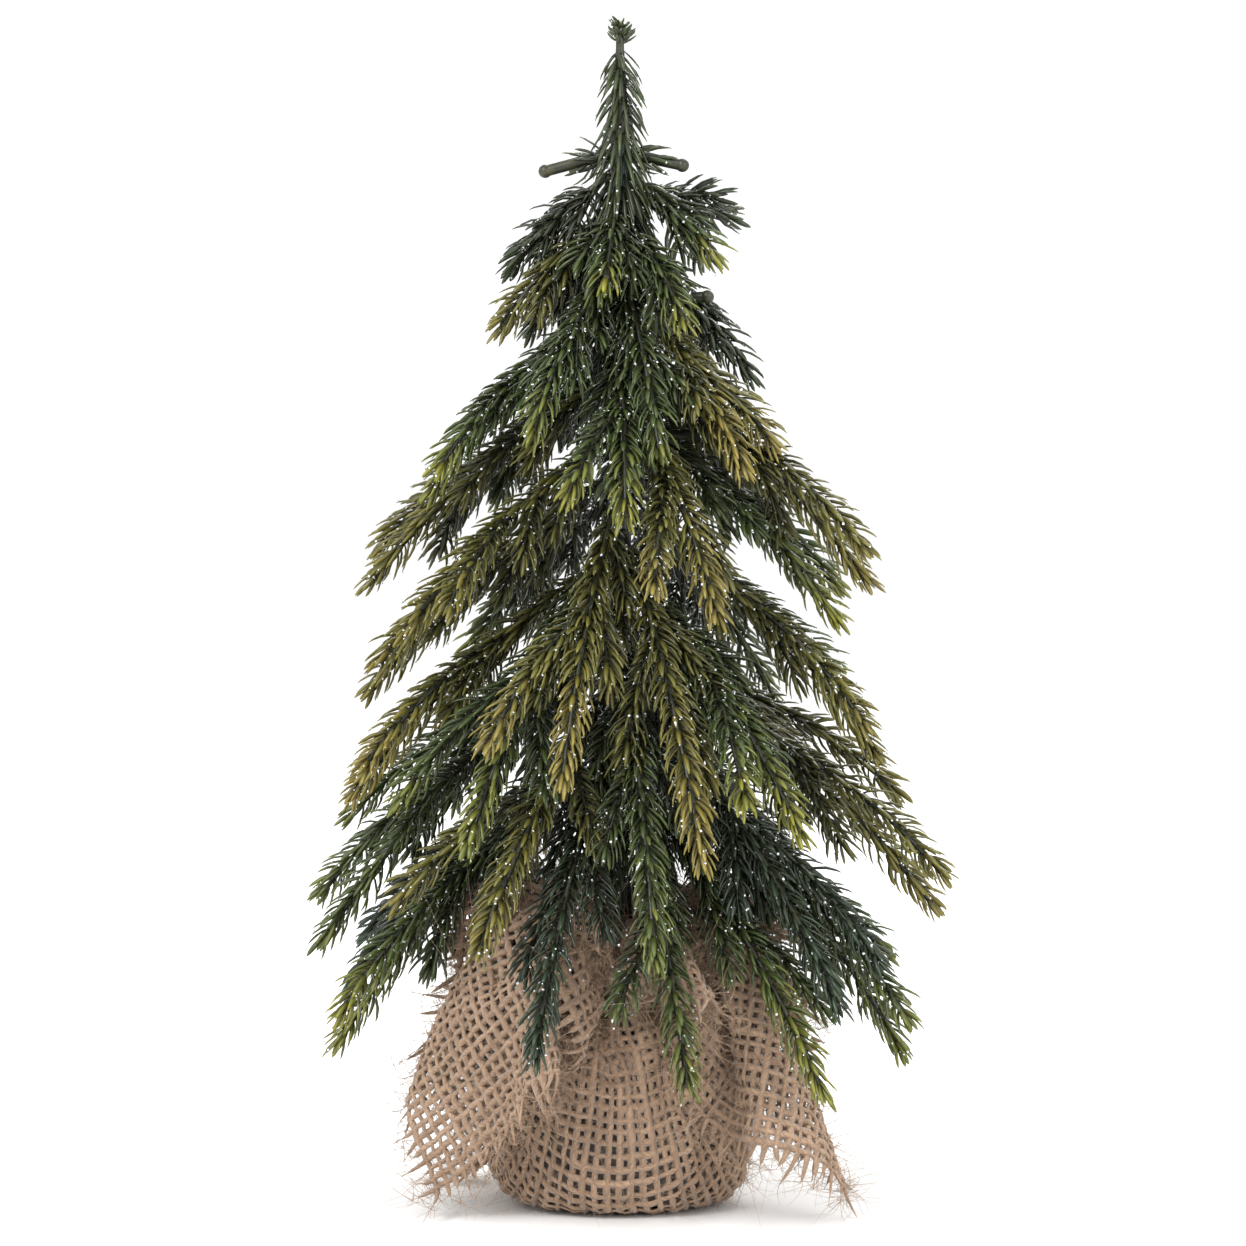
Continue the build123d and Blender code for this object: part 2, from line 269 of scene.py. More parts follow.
def side_shoot(line, place, side):
    """Centre-line of a short inner shoot that leaves a stem sideways and droops."""
    points, _, run = arc_through(*line, [place])
    chord = unit(line[2] - line[0])
    level = math.atan2(chord[2], math.hypot(chord[0], chord[1])) + rng.normal(SHOOT_PITCH, SHOOT_PITCH_SPREAD)
    heading = math.atan2(chord[1], chord[0]) + side * rng.uniform(*SHOOT_TURNS)
    reach = max(SHORTEST_SHOOT, run * rng.uniform(*SHOOT_REACHES))
    end = points[0] + reach * np.array(
        [math.cos(heading) * math.cos(level), math.sin(heading) * math.cos(level), math.sin(level)]
    )
    return arched(points[0], end)


def thin_stem(line, radius):
    """Round tapering stem of a shoot that the CAD model leaves out."""
    shares = np.linspace(0, 1, 7)
    points, tangents, _ = arc_through(*line, shares)
    wide = unit(np.cross(tangents, (0, 0, 1)))
    thin = np.cross(tangents, wide)
    taper = np.linspace(radius, radius * 0.7, len(shares))[None]
    return tubes(points[None], wide[None], thin[None], taper, taper, 6, 0, 1)


def tone_levels(tone):
    """UV bands, counted from 0, that hold tones of 0 to 1."""
    return np.clip(np.round(tone * (TONE_LEVELS - 2)), 0, TONE_LEVELS - 2)


def foxtail(line, radius, bare, tone_start, tone_end):
    """Needles and flakes along one arched stem, from its bare root to a closed brush at its tip."""
    _, _, run = arc_through(*line, [0.0])
    count = max(8, int((run - bare) * NEEDLES_PER_MM))
    shares = np.linspace(bare / run, 1.0, count) + rng.normal(0, 0.15 / run, count)
    shares = np.clip(shares, 0, 1)
    points, tangents, _ = arc_through(*line, shares)
    flat_side = unit(np.cross(tangents, (0, 0, 1)))
    upper = np.cross(flat_side, tangents)
    turn = np.arange(count) * GOLDEN_ANGLE + rng.normal(0, 0.25, count)
    radials = unit(np.cos(turn)[:, None] * flat_side + FLATNESS * np.sin(turn)[:, None] * upper)
    tipness = np.clip((shares - 1 + TIP_SHARE) / TIP_SHARE, 0, 1)
    lengths = NEEDLE_LENGTH * (1 - 0.28 * tipness) * rng.uniform(*LENGTH_SPREAD, count)
    lengths *= np.clip(0.55 + shares * 1.4, 0.55, 1.0)
    openings = NEEDLE_OPENING * (1 - 0.55 * tipness) * rng.uniform(*OPENING_SPREAD, count)
    closings = NEEDLE_CLOSING * rng.uniform(0.2, 1.8, count) - 0.12
    widths = NEEDLE_WIDTH * rng.uniform(*WIDTH_SPREAD, count)
    tone = tone_start + (tone_end - tone_start) * shares**1.5 + rng.normal(0, TONE_SPREAD, count)
    levels = tone_levels(tone)
    bases = points + radials * radius * NEEDLE_SEAT
    verts, quads, uvs, centre, back = needle_arrays(
        bases, tangents, radials, lengths, openings, closings, widths, levels
    )
    flakes = int(count * FLAKES_PER_NEEDLE)
    picked = rng.integers(0, count, flakes)
    ring = rng.integers(1, len(NEEDLE_SHARES), flakes)
    sign = np.where(rng.random(flakes) < FLAKES_ON_TOP, 1.0, -1.0)[:, None]
    facing = back[picked, ring] * sign
    places = centre[picked, ring] + facing * NEEDLE_THICKNESS * 0.52
    places += rng.normal(0, 0.12, (flakes, 3))
    sizes = FLAKE_RADIUS * rng.uniform(0.55, 1.25, flakes)
    glitter = flake_arrays(places, facing + rng.normal(0, 0.45, (flakes, 3)), sizes)
    return [(verts, quads, uvs, 0), (*glitter, 1)]


# ---- materials ----------------------------------------------------------------------------------
def material(name):
    """New node material and its tree, principled shader and a node-making helper."""
    made = bpy.data.materials.new(name)
    made.use_nodes = True
    tree = made.node_tree
    shader = tree.nodes["Principled BSDF"]

    def node(kind, **inputs):
        new = tree.nodes.new(kind)
        for key, value in inputs.items():
            if isinstance(value, bpy.types.NodeSocket):
                tree.links.new(value, new.inputs[key])
            elif key in new.inputs:
                new.inputs[key].default_value = value
            else:
                setattr(new, key, value)
        return new

    return made, tree, shader, node


def ramp(node, factor, stops):
    """Colour ramp through (position, colour) stops."""
    made = node("ShaderNodeValToRGB", Fac=factor)
    elements = made.color_ramp.elements
    while len(elements) < len(stops):
        elements.new(0.5)
    for element, (position, colour) in zip(elements, stops):
        element.position = position
        element.color = (*colour, 1.0)
    return made.outputs["Color"]


def mixed(node, factor, first, second, blend="MIX"):
    """Colour mix of two sockets or colours."""
    made = node("ShaderNodeMix", data_type="RGBA", blend_type=blend)
    tree = made.id_data
    for key, value in ((0, factor), (6, first), (7, second)):
        if isinstance(value, bpy.types.NodeSocket):
            tree.links.new(value, made.inputs[key])
        else:
            made.inputs[key].default_value = value if key == 0 else (*value, 1.0)
    return made.outputs[2]


def math_node(node, operation, first, second=0.0):
    """One arithmetic node."""
    made = node("ShaderNodeMath", operation=operation)
    tree = made.id_data
    for key, value in ((0, first), (1, second)):
        if isinstance(value, bpy.types.NodeSocket):
            tree.links.new(value, made.inputs[key])
        else:
            made.inputs[key].default_value = value
    return made.outputs[0]


def linear(red, green, blue):
    """Linear colour from the 0 to 255 values a screen shows."""
    return tuple(
        c / 12.92 if c <= 0.04045 else ((c + 0.055) / 1.055) ** 2.4
        for c in (red / 255, green / 255, blue / 255)
    )


def needle_material(name, stops):
    """Moulded needles: V picks a tone along the sprig; U darkens each needle's base by the stem as painted shade
    and runs to a lighter, yellower tip, partly the needles' own colour; the side edges carry a painted highlight.
    """
    made, tree, shader, node = material(name)
    split = node("ShaderNodeSeparateXYZ", Vector=node("ShaderNodeUVMap", uv_map="OFBake").outputs[0])
    along, across = split.outputs[0], split.outputs[1]
    cells = math_node(node, "MULTIPLY", across, float(TONE_LEVELS))
    level = math_node(node, "DIVIDE", math_node(node, "FLOOR", cells), float(TONE_LEVELS))
    around = math_node(node, "FRACT", cells)
    tone = ramp(node, level, stops)
    # painted shade: each needle is darkened towards its base, where it meets the stem inside the brush; the
    # lighter, yellower tip is partly the needles' own colour
    needle_base_shade = ramp(
        node, along, [(0.0, (0.16, 0.16, 0.17)), (0.5, (0.7, 0.7, 0.7)), (1.0, (1.12, 1.12, 1.0))]
    )
    shaded = mixed(node, 1.0, tone, needle_base_shade, "MULTIPLY")
    # painted highlight: the needles' side edges are mixed towards a light olive, as if they caught the light
    edge = math_node(node, "ABSOLUTE", math_node(node, "SUBTRACT", around, 0.5))
    edge_highlighted = mixed(node, math_node(node, "MULTIPLY", edge, 0.35), shaded, linear(128, 134, 88), "MIX")
    tree.links.new(edge_highlighted, shader.inputs["Base Color"])
    shader.inputs["Roughness"].default_value = 0.36
    shader.inputs["Specular IOR Level"].default_value = 0.45
    shader.inputs["Coat Weight"].default_value = 0.12
    shader.inputs["Coat Roughness"].default_value = 0.25
    return made


DEEP_GREEN = linear(19, 25, 15)
TEAL = linear(34, 56, 38)
LEAF_GREEN = linear(66, 82, 32)
OLIVE = linear(104, 100, 38)
YELLOW_GREEN = linear(146, 142, 44)
OCHRE = linear(126, 112, 46)
GOLD = linear(146, 130, 60)

# each slot's tone at the root and at the tip, and the colours that tone 0 to 1 runs through
TONES = {
    "sprig_dark": (0.05, 0.5, [(0.0, DEEP_GREEN), (0.5, linear(42, 55, 30)), (1.0, OLIVE)]),
    "sprig_green": (0.1, 0.62, [(0.0, DEEP_GREEN), (0.45, LEAF_GREEN), (1.0, YELLOW_GREEN)]),
    "sprig_teal": (0.1, 0.5, [(0.0, DEEP_GREEN), (0.5, TEAL), (1.0, LEAF_GREEN)]),
    "sprig_yellow_green": (0.15, 0.85, [(0.0, DEEP_GREEN), (0.5, LEAF_GREEN), (1.0, YELLOW_GREEN)]),
    "sprig_olive": (0.12, 0.8, [(0.0, DEEP_GREEN), (0.5, OLIVE), (1.0, OCHRE)]),
    "sprig_gold": (0.2, 0.92, [(0.0, DEEP_GREEN), (0.45, OLIVE), (0.7, OCHRE), (1.0, GOLD)]),
}


def glitter_material():
    """Silvered flakes."""
    made, _, shader, _ = material("glitter")
    shader.inputs["Base Color"].default_value = (0.92, 0.95, 1.0, 1.0)
    shader.inputs["Metallic"].default_value = 0.35
    shader.inputs["Roughness"].default_value = 0.22
    return made


def stem_material():
    """Moulded stems: brown-green plastic with soft blotches."""
    made, tree, shader, node = material("stem_plastic")
    place = node("ShaderNodeTexCoord").outputs["Object"]
    blotch = node("ShaderNodeTexNoise", Vector=place, Scale=420.0, Detail=4.0)
    colour = ramp(
        node,
        blotch.outputs["Fac"],
        [(0.3, linear(22, 28, 18)), (0.55, linear(40, 42, 26)), (0.8, linear(66, 62, 36))],
    )
    tree.links.new(colour, shader.inputs["Base Color"])
    rough = node("ShaderNodeMapRange", Value=blotch.outputs["Fac"])
    rough.inputs["To Min"].default_value = 0.3
    rough.inputs["To Max"].default_value = 0.55
    tree.links.new(rough.outputs[0], shader.inputs["Roughness"])
    bump = node("ShaderNodeBump", Height=blotch.outputs["Fac"], Strength=0.25, Distance=0.0001)
    tree.links.new(bump.outputs[0], shader.inputs["Normal"])
    return made


# ---- sprigs ---------------------------------------------------------------------------------------
slot_of = {row["node"]: row["material_slot"] for row in frame["record"]["subparts"]}
glitter = glitter_material()
stem_plastic = stem_material()
needle_materials = {slot: needle_material(slot + "_needles", row[2]) for slot, row in TONES.items()}


def place_brush(name, body, parts, slot_name):
    """Needle piece from mesh parts, riding on a body."""
    verts, quads, uvs, index = joined(parts)
    brush = new_mesh(name, verts, quads, uvs, index)
    brush.data.materials.append(needle_materials[slot_name])
    brush.data.materials.append(glitter)
    brush.data.materials.append(stem_plastic)
    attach(brush, body)


def repaint(node_name, finish):
    """Carried-over CAD node with a better material."""
    frame["nodes"][node_name].data.materials.clear()
    frame["nodes"][node_name].data.materials.append(finish)


for joint in frame["joints"]:
    node_name = joint["child"]
    slot_name = slot_of[node_name]
    tone_start, tone_end, _ = TONES[slot_name]
    stems = stems_of(node_name, joint)
    parts = []
    for line, radius in stems:
        bare = BARE_ROOT if radius == STEM_RADIUS else 1.0
        parts += foxtail(line, radius, bare, tone_start, tone_end * rng.uniform(0.85, 1.1))
    main = stems[0][0]
    side = 1 if rng.random() < 0.5 else -1
    for place in SHOOT_PLACES:
        shoot = side_shoot(main, place + rng.normal(0, 0.03), side)
        # painted shade: inner shoots start darker than their sprig and end at a lower tone, the more so nearer its
        # root, standing in for the shade inside the tree
        inner_shade_tip_tone = tone_start + (tone_end - tone_start) * rng.uniform(0.15, 0.3 + 0.7 * place)
        parts += foxtail(shoot, SHOOT_RADIUS, 0.5, tone_start * 0.6, inner_shade_tip_tone)
        parts.append((*thin_stem(shoot, SHOOT_RADIUS), 2))
        side = -side
    place_brush(node_name + "_needles", node_name, parts, slot_name)
    repaint(node_name, stem_plastic)

# ---- leader: a brush that hangs down round the spike, with a small tuft on top --------------------
leader_low, leader_high = (np.array(corner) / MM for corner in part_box("leader_sprig"))
spike_top, spike_foot = leader_high[2], leader_low[2]


def upright(low, high):
    """Nearly straight line on the trunk's axis, between two heights."""
    return np.array([0, 0, low]), np.array([0.12, 0.05, (low + high) / 2]), np.array([0, 0, high])


def whorls(low, high, count, length, opening, closing, radius, tone, downward=True):
    """Needles in a spiral round the axis, pointing down and out, or up and out."""
    line = upright(high, low) if downward else upright(low, high)
    shares = np.linspace(0, 1, count)
    points, tangents, _ = arc_through(*line, shares)
    turn = np.arange(count) * GOLDEN_ANGLE + rng.normal(0, 0.2, count)
    radials = np.stack([np.cos(turn), np.sin(turn), np.zeros(count)], axis=-1)
    radii = np.interp(shares, (0, 1), radius)
    lengths = np.interp(shares, (0, 1), length) * rng.uniform(0.85, 1.15, count)
    levels = tone_levels(tone + rng.normal(0, TONE_SPREAD, count))
    verts, quads, uvs, centre, back = needle_arrays(
        points + radials * radii[:, None],
        tangents,
        radials,
        lengths,
        math.radians(opening) * rng.uniform(0.8, 1.2, count),
        math.radians(closing) * rng.uniform(0.7, 1.3, count) - 0.02,
        NEEDLE_WIDTH * rng.uniform(0.8, 1.0, count),
        levels,
    )
    flakes = count // 2
    picked, ring = rng.integers(0, count, flakes), rng.integers(1, len(NEEDLE_SHARES), flakes)
    places = centre[picked, ring] + back[picked, ring] * NEEDLE_THICKNESS * 0.5
    sizes = FLAKE_RADIUS * rng.uniform(0.5, 1.1, flakes)
    glitter_parts = flake_arrays(places, back[picked, ring] + rng.normal(0, 0.4, (flakes, 3)), sizes)
    return [(verts, quads, uvs, 0), (*glitter_parts, 1)]


# the hanging brush, the tuft, and the dark needles that hang round the upper trunk
leader_parts = whorls(
    spike_foot - 8,
    spike_top - 5,
    count=140,
    length=(4.6, 8.6),
    opening=50,
    closing=24,
    radius=(0.6, 1.5),
    tone=0.22,
)
leader_parts += whorls(
    spike_top - 3.8,
    spike_top - 0.5,
    count=34,
    length=(2.6, 1.8),
    opening=66,
    closing=38,
    radius=(0.5, 0.3),
    tone=0.25,
    downward=False,
)
leader_parts += whorls(
    spike_foot - 44,
    spike_foot - 6,
    count=360,
    length=(7.0, 10.5),
    opening=46,
    closing=20,
    radius=(2.1, 2.1),
    tone=0.1,
)
# a few needles on the inner half of each bare stub
for node_name, slot_name in slot_of.items():
    if slot_name == "bare_stem":
        low_corner, high_corner = (np.array(corner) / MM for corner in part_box(node_name))
        middle = (low_corner + high_corner) / 2
        outward = unit(middle * (1, 1, 0))
        end = middle - outward * np.hypot(*middle[:2]) * 0.2
        start = np.array([0, 0, middle[2] + 0.5]) + outward
        leader_parts += foxtail((start, (start + end) / 2 + np.array([0, 0, 0.3]), end), 0.9, 0.2, 0.02, 0.3)
place_brush("leader_needles", "stand", leader_parts, "sprig_green")


# ---- trunk wrap, bare stem ends and neck twine ---------------------------------------------------
def tape_material():
    """Glossy dark florist's tape: overlapping turns and small wrinkles."""
    made, tree, shader, node = material("wound_tape")
    place = node("ShaderNodeTexCoord").outputs["Object"]
    turns = node("ShaderNodeTexWave", Vector=place, bands_direction="Z", wave_profile="SAW", Scale=55.0)
    turns.inputs["Distortion"].default_value = 1.2
    turns.inputs["Detail"].default_value = 1.0
    wrinkle = node("ShaderNodeTexNoise", Vector=place, Scale=900.0, Detail=4.0)
    colour = ramp(node, wrinkle.outputs["Fac"], [(0.3, linear(14, 22, 20)), (0.7, linear(34, 50, 44))])
    tree.links.new(colour, shader.inputs["Base Color"])
    small = math_node(node, "MULTIPLY", wrinkle.outputs["Fac"], 0.5)
    height = math_node(node, "ADD", turns.outputs["Fac"], small)
    bump = node("ShaderNodeBump", Height=height, Strength=0.7, Distance=0.0003)
    tree.links.new(bump.outputs[0], shader.inputs["Normal"])
    shader.inputs["Roughness"].default_value = 0.28
    shader.inputs["Coat Weight"].default_value = 0.3
    return made


def cement_material():
    """Cast cement: fine grain, pits and pale blotches."""
    made, tree, shader, node = material("cast_cement")
    place = node("ShaderNodeTexCoord").outputs["Object"]
    grain = node("ShaderNodeTexNoise", Vector=place, Scale=1500.0, Detail=6.0)
    blotch = node("ShaderNodeTexNoise", Vector=place, Scale=120.0, Detail=3.0)
    stone = ramp(node, grain.outputs["Fac"], [(0.3, linear(96, 84, 74)), (0.7, linear(142, 128, 116))])
    shade = ramp(node, blotch.outputs["Fac"], [(0.3, (0.8, 0.8, 0.8)), (0.7, (1.05, 1.05, 1.05))])
    tree.links.new(mixed(node, 1.0, stone, shade, "MULTIPLY"), shader.inputs["Base Color"])
    bump = node("ShaderNodeBump", Height=grain.outputs["Fac"], Strength=0.5, Distance=0.0002)
    tree.links.new(bump.outputs[0], shader.inputs["Normal"])
    shader.inputs["Roughness"].default_value = 0.92
    return made


def steel_material():
    """Drawn wire: fine lengthwise lines and a little tarnish."""
    made, tree, shader, node = material("drawn_steel")
    place = node("ShaderNodeTexCoord").outputs["Object"]
    stretch = node("ShaderNodeMapping", Vector=place)
    stretch.inputs["Scale"].default_value = (3000.0, 3000.0, 60.0)
    lines = node("ShaderNodeTexNoise", Vector=stretch.outputs[0], Scale=1.0, Detail=3.0)
    colour = ramp(node, lines.outputs["Fac"], [(0.3, linear(120, 118, 114)), (0.7, linear(176, 174, 170))])
    tree.links.new(colour, shader.inputs["Base Color"])
    shader.inputs["Metallic"].default_value = 1.0
    shader.inputs["Roughness"].default_value = 0.38
    return made


repaint("trunk_wrap", tape_material())
repaint("trunk_wire", steel_material())
repaint("base_weight", cement_material())
repaint("leader_sprig", stem_plastic)
for node_name in slot_of:
    if node_name.startswith("bare_stub"):
        repaint(node_name, stem_plastic)

# ---- burlap: one square of jute, gathered round the base by cloth simulation ---------------------
# CORNER_AZIMUTHS and FRONT_EDGE_AZIMUTH say where the square's corners and its front edge go.
CLOTH_HALF = 100.0
CLOTH_SHIFT = (1.0, 0.0)
CLOTH_GRID = 56
SIM_SCALE = 0.02
CORNER_AZIMUTHS = (-150.0, -12.0, 62.0, 138.0)
FRONT_EDGE_AZIMUTH = -118.0
RING_INNER, RING_OUTER = 67.0, 73.0
RING_HEIGHT, RING_RISE = 43.5, 4.5
RING_RADIUS, RING_DEPTH = 7.2, 2.6
PLEATS = 22
HELD_MIDDLE = 14.0
GATHER_FRAMES, SETTLE_FRAMES = 40, 60
YARN_PITCH = 2.0
YARN_WIDTH = 1.12
YARN_THICKNESS = 0.62
WEAVE_HEIGHT = 0.27
FRINGE = 5.0
UV_BANDS = 192.0                 # yarns in both directions, each with a UV band of its own


def lathe(profile, segments=40):
    """Vertices and faces of a turned shape with the given (radius, height) profile."""
    verts, faces = [], []
    for radius, height in profile:
        for k in range(segments):
            angle = 2 * math.pi * k / segments
            verts.append((radius * math.cos(angle), radius * math.sin(angle), height))
    for i in range(len(profile) - 1):
        for k in range(segments):
            right = (k + 1) % segments
            low, high = i * segments, (i + 1) * segments
            faces.append((low + k, low + right, high + right, high + k))
    return verts, faces


def sim_object(name, verts_mm, faces):
    """Throwaway object at the simulation's scale."""
    mesh = bpy.data.meshes.new(name)
    mesh.from_pydata([[c * SIM_SCALE for c in vert] for vert in verts_mm], [], faces)
    obj = bpy.data.objects.new(name, mesh)
    bpy.context.scene.collection.objects.link(obj)
    return obj


def gathered_cloth():
    """Grid of points in mm of the square after it is pulled up round the base, tied and let fall."""
    generator = np.random.default_rng(7)
    side = np.linspace(-CLOTH_HALF, CLOTH_HALF, CLOTH_GRID)
    u, v = np.meshgrid(side + CLOTH_SHIFT[0], side + CLOTH_SHIFT[1], indexing="ij")
    radius = np.hypot(u, v)
    turn = (np.degrees(np.arctan2(v, u)) + 135.0) % 360.0
    goals = (CORNER_AZIMUTHS[0], FRONT_EDGE_AZIMUTH, *CORNER_AZIMUTHS[1:], CORNER_AZIMUTHS[0] + 360.0)
    azimuth = np.radians(np.interp(turn, (0.0, 45.0, 90.0, 180.0, 270.0, 360.0), goals))
    flat = np.stack([u, v, np.full_like(u, 0.7)], axis=-1)
    rise = np.clip((radius - RING_INNER) / (RING_OUTER - RING_INNER), 0, 1)
    wave = np.cos(PLEATS * azimuth + 1.5 * np.sin(3 * azimuth + 6 * generator.uniform(0, 1)))
    reach = RING_RADIUS + RING_DEPTH * wave * (0.8 + 0.2 * np.cos(2 * azimuth + 1)) + rise
    tied = np.stack(
        [reach * np.cos(azimuth), reach * np.sin(azimuth), RING_HEIGHT + RING_RISE * rise], axis=-1
    )
    ring = (radius >= RING_INNER) & (radius <= RING_OUTER)
    goal = np.where(ring[..., None], tied, flat)

    index = np.arange(CLOTH_GRID * CLOTH_GRID).reshape(CLOTH_GRID, CLOTH_GRID)
    quads = np.stack([index[:-1, :-1], index[1:, :-1], index[1:, 1:], index[:-1, 1:]], axis=-1)
    cloth = sim_object("sim_cloth", flat.reshape(-1, 3).tolist(), quads.reshape(-1, 4).tolist())
    held = cloth.vertex_groups.new(name="held")
    held.add(np.flatnonzero((ring | (radius < HELD_MIDDLE)).ravel()).tolist(), 1.0, "REPLACE")
    cloth.shape_key_add(name="flat")
    lift = cloth.shape_key_add(name="lift")
    lift.data.foreach_set("co", (goal * SIM_SCALE).astype(np.float32).ravel())
    for value, frame_number in ((0.0, 1), (1.0, GATHER_FRAMES)):
        lift.value = value
        lift.keyframe_insert("value", frame=frame_number)

    base_low, base_high = (np.array(corner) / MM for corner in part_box("base_weight"))
    edge = 5.0
    inner, low, high = base_high[0] - edge, base_low[2] + edge, base_high[2] - edge
    arc = np.linspace(0, math.pi / 2, 6)
    profile = [(0.1, base_low[2]), (inner, base_low[2])]
    profile += [(inner + edge * math.sin(t), low - edge * math.cos(t)) for t in arc[1:]]
    profile += [(inner + edge * math.cos(t), high + edge * math.sin(t)) for t in arc]
    trunk_foot, trunk_radius, trunk_top = 2.6, 2.3, 60.0
    profile += [(trunk_foot, base_high[2] + 0.1), (trunk_radius, trunk_top), (0.1, trunk_top)]
    spread = 400.0
    square = [(-spread, -spread, 0), (spread, -spread, 0), (spread, spread, 0), (-spread, spread, 0)]
    props = [sim_object("sim_base", *lathe(profile)), sim_object("sim_floor", square, [(0, 1, 2, 3)])]
    for prop, thickness in zip(props, (0.012, 0.008)):
        prop.modifiers.new("collision", "COLLISION")
        prop.collision.thickness_outer = thickness
        prop.collision.cloth_friction = 8

    modifier = cloth.modifiers.new("cloth", "CLOTH")
    modifier.settings.quality = 8
    modifier.settings.mass = 0.4
    modifier.settings.air_damping = 1.5
    modifier.settings.tension_stiffness = 25
    modifier.settings.compression_stiffness = 25
    modifier.settings.shear_stiffness = 4
    modifier.settings.bending_stiffness = 2
    modifier.settings.tension_damping = 10
    modifier.settings.compression_damping = 10
    modifier.settings.shear_damping = 10
    modifier.settings.bending_damping = 1
    modifier.settings.vertex_group_mass = "held"
    modifier.collision_settings.distance_min = 0.012
    modifier.collision_settings.collision_quality = 3
    modifier.collision_settings.use_self_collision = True
    modifier.collision_settings.self_distance_min = 0.012
    modifier.collision_settings.self_friction = 5
    scene = bpy.context.scene
    last = GATHER_FRAMES + SETTLE_FRAMES
    scene.frame_start, scene.frame_end = 1, last
    modifier.point_cache.frame_start, modifier.point_cache.frame_end = 1, last
    for frame_number in range(1, last + 1):
        scene.frame_set(frame_number)
    settled = cloth.evaluated_get(bpy.context.evaluated_depsgraph_get()).to_mesh()
    points = np.empty(len(settled.vertices) * 3, dtype=np.float32)
    settled.vertices.foreach_get("co", points)
    points = points.reshape(CLOTH_GRID, CLOTH_GRID, 3).astype(float) / SIM_SCALE
    for obj in (cloth, *props):
        bpy.data.objects.remove(obj)
    scene.frame_set(1)
    return points


def spline_weights(places, count):
    """Rows of cubic B-spline weights over a clamped row of control points."""
    spot = np.clip(places, 0, count - 1 - 1e-9)
    cell = np.floor(spot).astype(int)
    t = spot - cell
    weights = np.zeros((len(places), count + 2))
    basis = ((1 - t) ** 3, 3 * t**3 - 6 * t**2 + 4, -3 * t**3 + 3 * t**2 + 3 * t + 1, t**3)
    for k, share in enumerate(basis):
        weights[np.arange(len(places)), cell + k] = share / 6
    # the two outer points are the mirror of their neighbours, so that the curve ends at the border
    weights[:, 1] += 2 * weights[:, 0]
    weights[:, 2] -= weights[:, 0]
    weights[:, -2] += 2 * weights[:, -1]
    weights[:, -3] -= weights[:, -1]
    return weights[:, 1:-1]


def woven(points):
    """Over-and-under yarns of the cloth: (verts, quads, uvs), and centres and normals for the fuzz."""
    edge = CLOTH_HALF - FRINGE
    rows = np.arange(-edge, edge + 0.1, YARN_PITCH)
    run = np.arange(-CLOTH_HALF, CLOTH_HALF + 0.1, YARN_PITCH / 2)
    parts, centre_rows, normal_rows = [], [], []
    for direction in (0, 1):
        def at(across, along):
            spots = [(across + CLOTH_HALF) / (2 * CLOTH_HALF), (along + CLOTH_HALF) / (2 * CLOTH_HALF)]
            grids = [spline_weights(spot * (CLOTH_GRID - 1), CLOTH_GRID) for spot in spots]
            surface = points if direction == 0 else points.transpose(1, 0, 2)
            return np.einsum("ai,bj,ijk->abk", grids[0], grids[1], surface)

        wander = np.cumsum(rng.normal(0, 0.05, len(rows)))
        across = np.clip(rows + wander - wander.mean(), -CLOTH_HALF + 1, CLOTH_HALF - 1)
        step = 0.5
        centre = at(across, run)
        ahead = np.clip(run + step, None, CLOTH_HALF)
        behind = np.clip(run - step, -CLOTH_HALF, None)
        along_tangent = unit(at(across, ahead) - at(across, behind))
        across_tangent = unit(at(across + step, run) - at(across - step, run))
        sign = 1.0 if direction == 0 else -1.0
        normal = unit(np.cross(across_tangent, along_tangent)) * sign
        side = np.cross(along_tangent, normal)
        parity = np.round(rows / YARN_PITCH)[:, None] * math.pi
        inside = np.clip((edge + 1 - np.abs(run)) / 2, 0, 1)
        lift = WEAVE_HEIGHT * np.cos(run[None] * math.pi / YARN_PITCH + parity) * sign * inside
        centre = centre + normal * lift[..., None]
        loose = np.clip((np.abs(run) - edge) / FRINGE, 0, 1)[None, :, None]
        centre = centre + loose**1.5 * rng.normal(0, 1.6, (len(rows), 1, 3)) * np.array([1, 1, 0.6])
        slub = 1 + 0.2 * np.repeat(rng.normal(0, 1, (len(rows), len(run) // 5 + 1)), 5, axis=1)[:, : len(run)]
        slub = np.clip((slub + np.roll(slub, 1, axis=1) + np.roll(slub, 2, axis=1)) / 3, 0.7, 1.4)
        slub *= 1 - 0.6 * loose[..., 0] ** 0.8
        ends = np.abs(run)[None] > CLOTH_HALF - rng.uniform(0, FRINGE * 0.8, (len(rows), 1))
        slub = np.where(ends, 0.12, slub)
        yarn = rng.uniform(0.86, 1.14, (len(rows), 1)) * slub
        wide, thick = yarn * YARN_WIDTH / 2, yarn * YARN_THICKNESS / 2
        parts.append(tubes(centre, side, normal, wide, thick, 4, direction * len(rows), 2 * len(rows)))
        centre_rows.append(centre)
        normal_rows.append(normal)
    return parts, np.stack(centre_rows), np.stack(normal_rows)


def hairs(roots, directions, lengths, radius, curl):
    """Fine curved fibres as three-sided tapering tubes."""
    count, length = len(roots), 4
    t = np.linspace(0, 1, length)
    bend = rng.normal(0, curl, (count, 1, 3))
    hook = rng.normal(0, curl, (count, 1, 3))
    share = t[None, :, None]
    path = directions[:, None] * share + bend * share**2 + hook * share**3
    centres = roots[:, None] + path * lengths[:, None, None]
    tangent = unit(np.gradient(centres, axis=1))
    wide = unit(np.cross(tangent, rng.normal(size=(count, 1, 3))))
    thin = np.cross(tangent, wide)
    taper = np.broadcast_to(radius * (1 - 0.75 * t), (count, length))
    return tubes(centres, wide, thin, taper, taper, 3, 0, 1)


